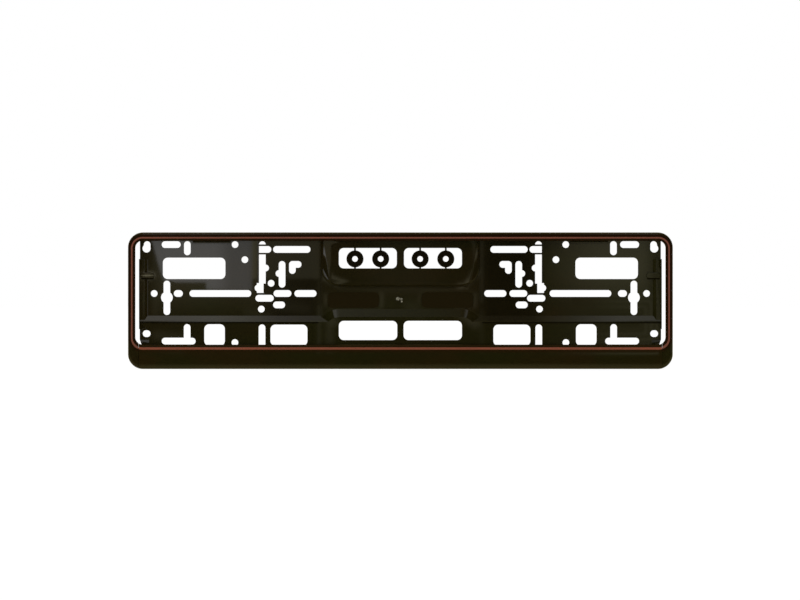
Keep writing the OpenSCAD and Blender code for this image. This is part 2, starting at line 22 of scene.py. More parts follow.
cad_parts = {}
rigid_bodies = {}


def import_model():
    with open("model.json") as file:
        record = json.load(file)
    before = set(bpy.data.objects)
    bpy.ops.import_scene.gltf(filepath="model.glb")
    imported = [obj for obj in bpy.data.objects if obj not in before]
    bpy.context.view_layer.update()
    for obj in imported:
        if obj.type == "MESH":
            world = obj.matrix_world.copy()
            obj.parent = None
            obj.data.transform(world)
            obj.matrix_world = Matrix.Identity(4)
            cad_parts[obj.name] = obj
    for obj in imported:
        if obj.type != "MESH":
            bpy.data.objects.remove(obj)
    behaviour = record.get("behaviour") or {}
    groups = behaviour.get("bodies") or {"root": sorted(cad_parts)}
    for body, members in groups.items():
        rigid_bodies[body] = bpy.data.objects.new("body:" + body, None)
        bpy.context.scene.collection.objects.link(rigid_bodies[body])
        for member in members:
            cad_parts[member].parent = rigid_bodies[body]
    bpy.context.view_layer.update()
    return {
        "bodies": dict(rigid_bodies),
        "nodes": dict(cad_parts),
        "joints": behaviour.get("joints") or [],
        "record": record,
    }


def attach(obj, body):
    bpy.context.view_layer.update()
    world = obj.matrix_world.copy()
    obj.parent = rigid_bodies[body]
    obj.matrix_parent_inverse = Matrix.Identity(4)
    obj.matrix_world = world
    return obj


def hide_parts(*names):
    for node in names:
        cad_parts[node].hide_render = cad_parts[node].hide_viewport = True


log = logging.getLogger("plate_holder")

MM = 0.001
SLOT_LINE = 73.75
BODY = "root"

Point = tuple[float, float]
Colour = tuple[float, float, float]
Value = Union["Wire", float]


class Slot(Enum):
    """The record's material slots."""

    BLACK = "black_plastic"
    STRIP = "strip_plastic"
    LINE = "line_colour"


class Ray(Enum):
    """The outputs of the Light Path node that the studio uses."""

    CAMERA = "Is Camera Ray"
    GLOSSY = "Is Glossy Ray"
    TRANSMISSION = "Is Transmission Ray"


def upright(x: float, y: float, z: float) -> Vector:
    """Turns a place in the flat drawing into the standing part's frame.

    Args:
        x: Distance along the length, in millimetres.
        y: Height over the bottom edge.
        z: Height over the back plane.

    Returns:
        The place in metres.
    """
    return Vector((x, -z, y - SLOT_LINE)) * MM


# Node trees


class Wire:
    """A node's output, on which Python's operators add Math nodes."""

    def __init__(self, tree: Tree, socket: bpy.types.NodeSocket) -> None:
        """Keeps the tree and the output socket."""
        self.tree = tree
        self.socket = socket

    def maths(self, operation: str, *values: Value) -> Wire:
        """Adds one Math node.

        Args:
            operation: The node's operation.
            values: Its inputs in order.

        Returns:
            The node's output.
        """
        return self.tree.node("ShaderNodeMath", {"operation": operation}, dict(enumerate(values)))

    def __add__(self, other: Value) -> Wire:
        """self + other."""
        return self.maths("ADD", self, other)

    __radd__ = __add__

    def __mul__(self, other: Value) -> Wire:
        """self * other."""
        return self.maths("MULTIPLY", self, other)

    __rmul__ = __mul__

    def __sub__(self, other: Value) -> Wire:
        """self - other."""
        return self.maths("SUBTRACT", self, other)

    def __rsub__(self, other: Value) -> Wire:
        """other - self."""
        return self.maths("SUBTRACT", other, self)

    def __truediv__(self, other: Value) -> Wire:
        """self / other."""
        return self.maths("DIVIDE", self, other)

    def __abs__(self) -> Wire:
        """The size of self without its sign."""
        return self.maths("ABSOLUTE", self)

    def at_least(self, other: Value) -> Wire:
        """The larger of self and other."""
        return self.maths("MAXIMUM", self, other)

    def at_most(self, other: Value) -> Wire:
        """The smaller of self and other."""
        return self.maths("MINIMUM", self, other)

    def root(self) -> Wire:
        """The square root of self."""
        return self.maths("SQRT", self)

    def ramp(self, low: float, high: float) -> Wire:
        """Rises smoothly from 0 to 1.

        Args:
            low: Where the rise starts.
            high: Where it ends.

        Returns:
            The risen value.
        """
        return self.tree.node(
            "ShaderNodeMapRange",
            {"interpolation_type": "SMOOTHSTEP"},
            {"Value": self, "From Min": low, "From Max": high},
        )


class Tree:
    """A node tree with one method that makes any node."""

    def __init__(self, tree: bpy.types.NodeTree) -> None:
        """Empties the tree and keeps it."""
        self.tree = tree
        tree.nodes.clear()

    def node(
        self,
        kind: str,
        settings: dict[str, Any] | None = None,
        inputs: dict[int | str, Any] | None = None,
        output: int | str = 0,
    ) -> Wire:
        """Makes a node.

        Args:
            kind: The node's type.
            settings: Its properties, which are set first.
            inputs: Numbers, colours or wires for its sockets, by name or place.
            output: The output that is returned, by name or place.

        Returns:
            That output as a wire.
        """
        made = self.tree.nodes.new(kind)
        for name, value in (settings or {}).items():
            setattr(made, name, value)
        for key, value in (inputs or {}).items():
            if isinstance(value, Wire):
                self.tree.links.new(value.socket, made.inputs[key])
            else:
                made.inputs[key].default_value = value
        return Wire(self, made.outputs[output] if len(made.outputs) else None)


class Recipe(Tree):
    """A Geometry Nodes tree with one geometry input and named number inputs."""

    def __init__(self, name: str, numbers: dict[str, float]) -> None:
        """Makes the tree, whose number inputs get these values when it runs."""
        self.group = bpy.data.node_groups.new(name, "GeometryNodeTree")
        self.numbers = numbers
        self.group.interface.new_socket("Shape", in_out="INPUT", socket_type="NodeSocketGeometry")
        for label in numbers:
            self.group.interface.new_socket(label, in_out="INPUT", socket_type="NodeSocketFloat")
        self.group.interface.new_socket("Made", in_out="OUTPUT", socket_type="NodeSocketGeometry")
        super().__init__(self.group)
        start = self.node("NodeGroupInput").socket.node
        self.inputs = [Wire(self, start.outputs[i]) for i in range(len(numbers) + 1)]

    def run(self, obj: bpy.types.Object, made: Wire, material: bpy.types.Material) -> bpy.types.Object:
        """Ends the tree and runs it on an object.

        Args:
            obj: The object, which is removed.
            made: The geometry that the tree makes.
            material: Its material.

        Returns:
            A plain mesh object of the tree's name.
        """
        real = self.node("GeometryNodeRealizeInstances", inputs={"Geometry": made})
        dressed = self.node("GeometryNodeSetMaterial", inputs={"Geometry": real, "Material": material})
        self.node("NodeGroupOutput", inputs={0: dressed})
        modifier = obj.modifiers.new("recipe", "NODES")
        modifier.node_group = self.group
        sockets = {s.name: s.identifier for s in self.group.interface.items_tree}
        for label, value in self.numbers.items():
            modifier[sockets[label]] = value
        return baked(obj, self.group.name)


class Paint(Tree):
    """A shader tree on the standing part's Object coordinates."""

    def __init__(self, name: str) -> None:
        """Makes a material of that name with an empty tree."""
        self.material = bpy.data.materials.new(name)
        self.material.use_nodes = True
        super().__init__(self.material.node_tree)
        self.place = self.node("ShaderNodeTexCoord", output="Object")

    def drawing(self) -> tuple[Wire, Wire, Wire]:
        """The place in the flat drawing, in millimetres."""
        parts = self.node("ShaderNodeSeparateXYZ", inputs={0: self.place}).socket.node
        x, y, z = (Wire(self, parts.outputs[axis]) for axis in "XYZ")
        return x / MM, z / MM + SLOT_LINE, y / -MM

    def noise(self, per_metre: float, detail: float = 2.0, stretch: Colour = (1, 1, 1)) -> Wire:
        """Cloudy noise from 0 to 1.

        Args:
            per_metre: How many clouds there are to a metre.
            detail: Octaves of finer noise.
            stretch: The pattern's scale along each axis.

        Returns:
            The noise.
        """
        place = self.node("ShaderNodeMapping", inputs={"Vector": self.place, "Scale": stretch})
        return self.node(
            "ShaderNodeTexNoise", inputs={"Vector": place, "Scale": per_metre, "Detail": detail}
        )

    def blend(self, factor: Value, first: Any, second: Any) -> Wire:
        """Mixes two colours.

        Args:
            factor: The share of the second.
            first: A colour or a wire.
            second: A colour or a wire.

        Returns:
            The mixed colour.
        """
        first, second = (c if isinstance(c, Wire) else (*c, 1.0) for c in (first, second))
        return self.node(
            "ShaderNodeMix", {"data_type": "RGBA"}, {0: factor, 6: first, 7: second}, output=2
        )

    def bump(self, height: Wire, distance: float, below: Wire | None = None) -> Wire:
        """Turns a height into a normal.

        Args:
            height: The height, from 0 to 1.
            distance: What a height of 1 stands for, in millimetres.
            below: The normal that it is laid over.

        Returns:
            The normal.
        """
        inputs: dict[int | str, Any] = {"Height": height, "Distance": distance * MM, "Strength": 1.0}
        if below is not None:
            inputs["Normal"] = below
        return self.node("ShaderNodeBump", inputs=inputs)

    def surface(self, shader: Wire) -> bpy.types.Material:
        """Ends the tree and returns its material."""
        self.node("ShaderNodeOutputMaterial", inputs={"Surface": shader})
        return self.material


def rounded_distance(x: Wire, y: Wire, half_w: float, half_h: float, r: float) -> Wire:
    """Distance to a rectangle with round corners, below 0 inside it.

    Args:
        x: Distance from its middle along its length.
        y: Distance from its middle across it.
        half_w: Half its length.
        half_h: Half its height.
        r: Its corner radius.

    Returns:
        The distance.
    """
    over_x, over_y = abs(x) - (half_w - r), abs(y) - (half_h - r)
    out_x, out_y = over_x.at_least(0.0), over_y.at_least(0.0)
    return (out_x * out_x + out_y * out_y).root() + over_x.at_least(over_y).at_most(0.0) - r


# Finishes


@dataclass(frozen=True)
class MatteAndShadePatch:
    """Spots of another finish, and lines and zones of painted shade, that lie the same on both halves,
    in millimetres.

    Attributes:
        x: Distance of a spot, or of the middle of two, from the holder's middle.
        y: Its height.
        half_w: Half its length.
        half_h: Half its height.
        r: Radius of its corners.
        z: The heights over the back plane that it lies between.
        apart: Half the distance of two spots side by side.
        colour: Its colour.
        roughness: Its roughness.
        grain: Height of its texture.
        soft: Width of its faded edge.
        matte: Share of the gloss that it takes away.
    """

    x: float
    y: float
    half_w: float
    half_h: float
    r: float
    z: Point
    apart: float = 0.0
    colour: Colour = (0.0113, 0.0060, 0.0014)
    roughness: float = 0.55
    grain: float = 0.03
    soft: float = 0.4
    matte: float = 1.0

    def mask(self, paint: Paint) -> Wire:
        """1 on the spots and 0 elsewhere."""
        x, y, z = paint.drawing()
        across = abs(abs(x) - self.x) - self.apart
        inside = rounded_distance(across, y - self.y, self.half_w, self.half_h, self.r)
        level = z.ramp(self.z[0] - 0.1, self.z[0]) * (1.0 - z.ramp(self.z[1], self.z[1] + 0.1))
        return (1.0 - inside.ramp(-0.1 - self.soft, -0.1)) * level


BADGES = MatteAndShadePatch(46.0, 67.3, 25.45, 7.95, 5.0, (2.0, 2.55))
WASHERS = MatteAndShadePatch(31.85, 107.55, 8.4, 8.4, 8.4, (0.0, 12.0), 12.55,
                     (0.0049, 0.0023, 0.0018), 0.5, 0.01)
# A near-black matte line along the crease at the foot of each sloped ledge: painted shade.
LEDGE_FOOT_SHADE = MatteAndShadePatch(168.0, 45.2, 88.5, 0.95, 0.9, (1.6, 12.0), 0.0,
                        (0.001, 0.0006, 0.0002), 0.5, 0.0)
# The same near-black line under each side lug: a painted shadow.
LUG_FOOT_SHADOW = replace(LEDGE_FOOT_SHADE, x=247.5, y=88.2, half_w=6.5)
# A softly darker zone round the inner slot columns, with the gloss left on: painted shade.
DARK_ZONE_SHADE = MatteAndShadePatch(106.0, 76.0, 38.0, 54.0, 25.0, (1.0, 4.6), 0.0,
                        (0.0046, 0.0026, 0.0003), soft=22.0, matte=0.0)


@dataclass(frozen=True)
class LineTint:
    """A reddish tint on the black plastic close to the coloured line, in millimetres."""

    half_w: float = 262.2
    low: float = 20.0
    high: float = 128.1
    r: float = 10.3
    reach: float = 4.6
    front: float = 8.5
    colour: Colour = (0.0125, 0.0018, 0.0002)

    def mask(self, paint: Paint) -> Wire:
        """Falls from 1 at the line to 0 at the tint's reach."""
        x, y, z = paint.drawing()
        middle, half_h = (self.high + self.low) / 2, (self.high - self.low) / 2
        off = abs(rounded_distance(x, y - middle, self.half_w, half_h, self.r))
        return (1.0 - off.ramp(self.reach / 2, self.reach)) * z.ramp(self.front - 0.5, self.front)


@dataclass(frozen=True)
class GlossPlastic:
    """Black plastic, moulded against a polished tool.

    Attributes:
        name: The material's name.
        dark: The colour of the denser flow.
        warm: The colour of the lighter, browner flow.
        olive: The colour of its greenish clouds.
        clouds: Colour clouds to a metre.
        roughness: Roughness of the body under the skin.
        smear: How much the roughness changes over the surface.
        skin: Weight of the mirror-like moulded skin.
        skin_roughness: Roughness of that skin.
        waves: Height of the slow waves of a thin moulding, in millimetres.
        grain: Height of the fine tool marks, in millimetres.
        sheen: Tint of the body's own gloss.
        patches: The matte spots and the painted shade on it.
        glow: The tint that the coloured line throws on the lips beside it.
    """

    name: str
    dark: Colour
    warm: Colour
    olive: Colour
    clouds: float = 14.0
    roughness: float = 0.35
    smear: float = 0.16
    skin: float = 1.0
    skin_roughness: float = 0.03
    waves: float = 0.05
    grain: float = 0.0005
    sheen: Colour = (1.0, 0.85, 0.35)
    patches: Sequence[MatteAndShadePatch] = ()
    glow: LineTint | None = None

    def material(self) -> bpy.types.Material:
        """Builds the material."""
        paint = Paint(self.name)
        cloud = paint.noise(self.clouds, 3.0, (1.0, 1.0, 2.2))
        drift = paint.noise(self.clouds * 0.45, 2.0, (1.0, 1.0, 1.6))
        streaks = paint.noise(self.clouds * 8, 3.0, (0.25, 1.0, 3.0))
        colour = paint.blend(cloud.ramp(0.4, 0.62), self.dark, self.warm)
        colour = paint.blend(drift.ramp(0.45, 0.6), colour, self.olive)
        fine = paint.noise(900.0, 2.0)
        rough = self.roughness + (streaks - 0.5) * self.smear
        skin: Value = self.skin
        if self.glow is not None:
            beside = self.glow.mask(paint)
            colour = paint.blend(beside, colour, self.glow.colour)
            skin = skin - beside * (skin * 0.92)
        waves = paint.noise(9.0, 1.0, (1.0, 1.0, 1.5))
        normal = paint.bump(waves, self.waves)
        normal = paint.bump(fine, self.grain, normal)
        # Matte spots, and lines and zones of painted shade, are blended into the colour and the gloss
        # here.
        for patch in self.patches:
            mask = patch.mask(paint)
            colour = paint.blend(mask, colour, patch.colour)
            mask = mask * patch.matte
            rough = rough + mask * (patch.roughness - self.roughness)
            skin = skin * (1.0 - mask)
            normal = paint.bump(paint.noise(2600.0, 3.0) * mask, patch.grain, normal)
        inputs: dict[int | str, Any] = {
            "Base Color": colour,
            "Roughness": rough.at_least(0.05),
            "IOR": 1.35,
            "Specular Tint": (*self.sheen, 1.0),
            "Coat Roughness": self.skin_roughness,
            "Coat Weight": skin,
            "Normal": normal,
        }
        return paint.surface(paint.node("ShaderNodeBsdfPrincipled", inputs=inputs))


@dataclass(frozen=True)
class LineFinish:
    """The coloured line: a satin film, its own red-brown painted lighter along the crest and darker
    down the flanks as painted highlight and shade.

    Attributes:
        name: The material's name.
        crest: The colour along the crest, lightened there as a painted highlight.
        flank: The colour down the two flanks, darkened there as painted shade.
        crest_z: Height of the crest over the back plane, in millimetres.
        flank_z: Height at which the flank's colour is reached.
        roughness: Its roughness.
        grain: Height of its fine texture, in millimetres.
    """

    name: str
    crest: Colour
    flank: Colour
    crest_z: float = 12.15
    flank_z: float = 11.7
    roughness: float = 0.38
    grain: float = 0.004

    def material(self) -> bpy.types.Material:
        """Builds the material."""
        paint = Paint(self.name)
        _, _, z = paint.drawing()
        flecks = paint.noise(420.0, 3.0)
        clouds = paint.noise(22.0, 2.0)
        # The colour runs by height from the darker flanks to the lighter crest: painted shade and
        # highlight.
        height = (z + (clouds - 0.5) * 0.15).ramp(self.flank_z, self.crest_z)
        colour = paint.blend(height, self.flank, self.crest)
        colour = paint.blend((flecks - 0.45) * 0.5, colour, tuple(c * 0.6 for c in self.flank))
        inputs: dict[int | str, Any] = {
            "Base Color": colour,
            "Roughness": self.roughness + (flecks - 0.5) * 0.2,
            "IOR": 1.46,
            "Normal": paint.bump(flecks, self.grain),
        }
        return paint.surface(paint.node("ShaderNodeBsdfPrincipled", inputs=inputs))


# Pieces


def finish_piece(obj: bpy.types.Object, slot: Slot, *nodes: str) -> bpy.types.Object:
    """Hands a finished piece to the frame.

    Args:
        obj: The piece.
        slot: The record's slot; not used.
        nodes: The CAD nodes that it stands for.

    Returns:
        The piece.
    """
    if nodes:
        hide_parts(*nodes)
    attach(obj, BODY)
    log.info("%s: %d faces", obj.name, len(obj.data.polygons))
    return obj


def new_object(name: str, data: bpy.types.ID) -> bpy.types.Object:
    """Puts a mesh or curve into the scene at the origin."""
    obj = bpy.data.objects.new(name, data)
    bpy.context.scene.collection.objects.link(obj)
    return obj


def baked(obj: bpy.types.Object, name: str) -> bpy.types.Object:
    """Turns an object with modifiers into a plain mesh object.

    Args:
        obj: The object, which is removed.
        name: The new object's name.

    Returns:
        The plain object.
    """
    depsgraph = bpy.context.evaluated_depsgraph_get()
    mesh = bpy.data.meshes.new_from_object(obj.evaluated_get(depsgraph))
    mesh.name = name
    bpy.data.objects.remove(obj)
    return new_object(name, mesh)


@dataclass(frozen=True)
class SoftZone:
    """A region of both ends whose front edges are rounder, in millimetres.

    Attributes:
        x: Its reach from the middle, from and to.
        y: Its heights, from and to.
        z: The least height of its edges over the back plane.
        radius: Radius of its edges.
    """

    x: Point
    y: Point
    z: float
    radius: float

    def holds(self, edge: bmesh.types.BMEdge) -> bool:
        """Tells whether both ends of an edge lie in the region."""
        return all(
            self.x[0] < abs(v.co.x) / MM < self.x[1]
            and self.y[0] < v.co.z / MM + SLOT_LINE < self.y[1]
            and -v.co.y / MM > self.z
            for v in edge.verts
        )


@dataclass
class Moulding:
    """A moulded piece made from a merged copy of its CAD solid, with softened edges.

    Attributes:
        name: The piece's name.
        node: The CAD node that it replaces.
        slot: Its material slot.
        finish: Its plastic.
        edge_r: Radius of the softened edges, in millimetres.
        back_r: Radius of those on the hidden side.
        zones: Regions with rounder edges.
        steps: Facets round each softened edge.
        sharp: The least angle of an edge that is softened, in degrees.
        shortest: Edges under this length stay as they are, in millimetres.
        crease: The least angle of an edge that stays sharp to the eye, in degrees.
    """

    name: str
    node: str
    slot: Slot
    finish: GlossPlastic
    edge_r: float = 0.15
    back_r: float = 0.08
    zones: Sequence[SoftZone] = ()
    steps: int = 2
    sharp: float = 35.0
    shortest: float = 0.2
    crease: float = 14.0

    def merged(self, cad: bpy.types.Object) -> bpy.types.Object:
        """Copies the CAD mesh and weighs its edges for softening.

        Args:
            cad: The CAD node's object.

        Returns:
            The copy, as an object.
        """
        mesh = cad.data.copy()
        mesh.materials.clear()
        shape = bmesh.new()
        shape.from_mesh(mesh)
        bmesh.ops.remove_doubles(shape, verts=shape.verts, dist=0.02 * MM)
        bmesh.ops.dissolve_degenerate(shape, edges=shape.edges, dist=0.01 * MM)
        bmesh.ops.dissolve_limit(
            shape, angle_limit=math.radians(0.6), verts=shape.verts, edges=shape.edges
        )
        weight = shape.edges.layers.float.new("bevel_weight_edge")
        for face in shape.faces:
            face.smooth = True
        for edge in shape.edges:
            edge.smooth = edge.calc_face_angle() < math.radians(self.crease)
        for edge in self.soft_edges(shape):
            edge.smooth = True
            edge[weight] = self.radius(edge) / self.widest()
        shape.to_mesh(mesh)
        shape.free()
        return new_object(self.name + "_raw", mesh)

    def soft_edges(self, shape: bmesh.types.BMesh) -> Iterable[bmesh.types.BMEdge]:
        """The sharp outer edges, but none at a very short one."""
        limit = math.radians(self.sharp)
        sharp = {e for e in shape.edges if e.is_convex and e.calc_face_angle() > limit}
        short = {e for e in sharp if e.calc_length() < self.shortest * MM}
        crowded = {v for e in short for v in e.verts}
        return [e for e in sharp if not crowded.intersection(e.verts)]

    def radius(self, edge: bmesh.types.BMEdge) -> float:
        """The radius of one softened edge."""
        if any(face.normal.y > 0.5 for face in edge.link_faces):
            return self.back_r
        return next((zone.radius for zone in self.zones if zone.holds(edge)), self.edge_r)

    def widest(self) -> float:
        """The largest radius of any edge."""
        return max([self.edge_r] + [zone.radius for zone in self.zones])

    def build(self, cad: bpy.types.Object) -> bpy.types.Object:
        """Makes the piece.

        Args:
            cad: The CAD node's object.

        Returns:
            The finished piece.
        """
        raw = self.merged(cad)
        bevel = raw.modifiers.new("edges", "BEVEL")
        bevel.limit_method = "WEIGHT"
        bevel.width = self.widest() * MM
        bevel.segments = self.steps
        bevel.use_clamp_overlap = False
        flats = raw.modifiers.new("flats", "WEIGHTED_NORMAL")
        flats.weight = 100
        flats.keep_sharp = True
        piece = baked(raw, self.name)
        piece.data.materials.append(self.finish.material())
        return finish_piece(piece, self.slot, self.node)


@dataclass
class LinePath:
    """The middle of the coloured line: a rectangle with round corners that a seam cuts.

    Attributes:
        side_x: Distance of the line from the middle at the sides, in millimetres.
        top_y: Its height along the top.
        strip_y: Its height along the strip.
        corner_r: Its radius at the corners.
        seam_x: Distance of the cut from the middle.
        gap: Room between the two lines at the cut.
        arc_steps: Points round each corner.
    """

    side_x: float = 262.2
    top_y: float = 128.1
    strip_y: float = 20.0
    corner_r: float = 10.3
    seam_x: float = 255.7
    gap: float = 0.25
    arc_steps: int = 18

    def corner(self, x: float, y: float, start: float, turn: float) -> list[Point]:
        """Points round one corner.

        Args:
            x: The corner's middle.
            y: The corner's middle.
            start: The first angle, in degrees.
            turn: How far it turns, in degrees.

        Returns:
            The points.
        """
        angles = (math.radians(start + turn * i / self.arc_steps) for i in range(self.arc_steps + 1))
        return [(x + self.corner_r * math.cos(a), y + self.corner_r * math.sin(a)) for a in angles]

    def frame(self) -> list[Point]:
        """The line round the frame, from one seam over the top to the other."""
        x, r = self.side_x - self.corner_r, self.corner_r
        low, high = self.strip_y + r, self.top_y - r
        seam = math.degrees(math.asin((self.seam_x + self.gap - x) / r))
        return (
            self.corner(x, low, seam - 90.0, 90.0 - seam)
            + self.corner(x, high, 0.0, 90.0)
            + self.corner(-x, high, 90.0, 90.0)
            + self.corner(-x, low, 180.0, 90.0 - seam)
        )

    def strip(self) -> list[Point]:
        """The line along the strip, with the ends of its corners."""
        x, r = self.side_x - self.corner_r, self.corner_r
        seam = math.degrees(math.asin((self.seam_x - self.gap - x) / r))
        low = self.strip_y + r
        return self.corner(-x, low, 270.0 - seam, seam) + self.corner(x, low, 270.0, seam)


@dataclass
class EdgeLine:
    """A domed bead of the coloured line, swept along its groove.

    Attributes:
        name: The piece's name.
        node: The CAD node that it replaces.
        finish: Its film.
        points: Its path in the flat drawing.
        widths: Its width at each point, in millimetres.
        floor_z: Height of the groove's floor over the back plane.
        crest_z: Height of its crest.
        sides: Facets round its section.
    """

    name: str
    node: str
    finish: LineFinish
    points: Sequence[Point]
    widths: Sequence[float]
    floor_z: float = 11.4
    crest_z: float = 12.2
    sides: int = 20

    def path(self) -> bpy.types.Object:
        """The path as a curve, whose points' radius is half the line's width."""
        curve = bpy.data.curves.new(self.name + "_path", "CURVE")
        curve.dimensions = "3D"
        spline = curve.splines.new("POLY")
        spline.points.add(len(self.points) - 1)
        for knot, (x, y), width in zip(spline.points, self.points, self.widths):
            knot.co = (*upright(x, y, (self.floor_z + self.crest_z) / 2), 1.0)
            knot.radius = width / 2
        return new_object(self.name + "_path", curve)

    def build(self) -> bpy.types.Object:
        """Sweeps a round section along the path and flattens it to the groove's depth."""
        tree = Recipe(self.name, {
            "Half height": (self.crest_z - self.floor_z) / 2 * MM,
            "Middle": -(self.crest_z + self.floor_z) / 2 * MM})
        path, half_height, middle = tree.inputs
        radius = tree.node("GeometryNodeInputRadius")
        kept = tree.node("GeometryNodeStoreNamedAttribute", {"data_type": "FLOAT"},
                         {"Geometry": path, "Name": "half_width", "Value": radius})
        section = tree.node("GeometryNodeCurvePrimitiveCircle",
                            inputs={"Resolution": self.sides, "Radius": MM}, output="Curve")
        half_width = tree.node("GeometryNodeInputNamedAttribute", {"data_type": "FLOAT"},
                               {"Name": "half_width"}, output="Attribute")
        swept = tree.node("GeometryNodeCurveToMesh", inputs={
            "Curve": kept, "Profile Curve": section, "Scale": half_width, "Fill Caps": True})
        place = tree.node("GeometryNodeInputPosition")
        parts = tree.node("ShaderNodeSeparateXYZ", inputs={0: place}).socket.node
        x, y, z = (Wire(tree, parts.outputs[axis]) for axis in "XYZ")
        flat = middle + (y - middle) * half_height / (half_width * MM)
        moved = tree.node("ShaderNodeCombineXYZ", inputs={"X": x, "Y": flat, "Z": z})
        placed = tree.node("GeometryNodeSetPosition", inputs={"Geometry": swept, "Position": moved})
        smooth = tree.node("GeometryNodeSetShadeSmooth", inputs={"Geometry": placed})
        return finish_piece(
            tree.run(self.path(), smooth, self.finish.material()), Slot.LINE, self.node)


@dataclass
class EjectorMarks:
    """The low round marks that ejector pins and inserts leave on the moulding.

    Attributes:
        name: The piece's name.
        finish: The holder's plastic.
        places: The marks' middles in the flat drawing, mirrored to the other end.
        facing: 1 for marks on the hidden side and -1 for marks on the front.
        radius: Radius of a mark, in millimetres.
        proud: How far a mark stands out.
        sunk: How far it reaches into the plastic.
        sides: Facets round a mark.
    """

    name: str
    finish: GlossPlastic
    places: Sequence[Colour]
    facing: int = 1
    radius: float = 2.2
    proud: float = 0.12
    sunk: float = 0.4
    sides: int = 28

    def build(self) -> bpy.types.Object:
        """Sets a low disc on each place."""
        mesh = bpy.data.meshes.new(self.name + "_places")
        mesh.from_pydata([upright(s * x, y, z) for x, y, z in self.places for s in (-1, 1)], [], [])
        tree = Recipe(self.name, {
            "Radius": self.radius * MM,
            "Height": (self.proud + self.sunk) * MM,
            "Offset": self.facing * (self.proud - self.sunk) / 2 * MM})
        places, radius, height, offset = tree.inputs
        disc = tree.node("GeometryNodeMeshCylinder",
                         inputs={"Vertices": self.sides, "Radius": radius, "Depth": height})
        shift = tree.node("ShaderNodeCombineXYZ", inputs={"Y": offset})
        turned = tree.node("GeometryNodeTransform", inputs={
            "Geometry": disc, "Translation": shift, "Rotation": (math.pi / 2, 0.0, 0.0)})
        spread = tree.node("GeometryNodeInstanceOnPoints",
                           inputs={"Points": places, "Instance": turned})
        obj = new_object(self.name + "_places", mesh)
        return finish_piece(tree.run(obj, spread, self.finish.material()), Slot.BLACK)


@dataclass
class GateScar:
    """The torn stub left where the mould was filled, whose light colour is a painted highlight.

    Attributes:
        nubs: Place, height over the back plane and radius of each torn nub, in millimetres.
        colour: Its light colour, a painted highlight.
        rough: How ragged a nub is, as a share of its radius.
    """

    nubs: Sequence[tuple[float, float, float, float]] = (
        (-2.6, 68.6, 2.75, 1.6), (0.9, 68.3, 2.7, 1.1), (1.3, 66.0, 2.7, 0.8))
    colour: Colour = (0.3, 0.28, 0.2)
    rough: float = 0.5

    def build(self) -> bpy.types.Object:
        """Makes the stub."""
        shape = bmesh.new()
        for x, y, z, radius in self.nubs:
            ball = bmesh.ops.create_icosphere(shape, subdivisions=4, radius=radius * MM)
            for vert in ball["verts"]:
                tear = noise.noise(vert.co / MM * 1.7 + Vector((x, y, z)))
                vert.co *= 1.0 + self.rough * tear
                vert.co.y *= 0.5
                vert.co += upright(x, y, z)
        mesh = bpy.data.meshes.new("gate_scar")
        shape.to_mesh(mesh)
        shape.free()
        mesh.shade_smooth()
        mesh.materials.append(self.material())
        return finish_piece(new_object("gate_scar", mesh), Slot.BLACK)

    def material(self) -> bpy.types.Material:
        """Builds the light plastic of the painted highlight."""
        paint = Paint("gate_highlight_plastic")
        flecks = paint.noise(900.0, 3.0)
        colour = paint.blend(flecks.ramp(0.35, 0.65), self.colour, tuple(c * 0.35 for c in self.colour))
        inputs = {"Base Color": colour, "Roughness": 0.6, "Normal": paint.bump(flecks, 0.05)}
        return paint.surface(paint.node("ShaderNodeBsdfPrincipled", inputs=inputs))


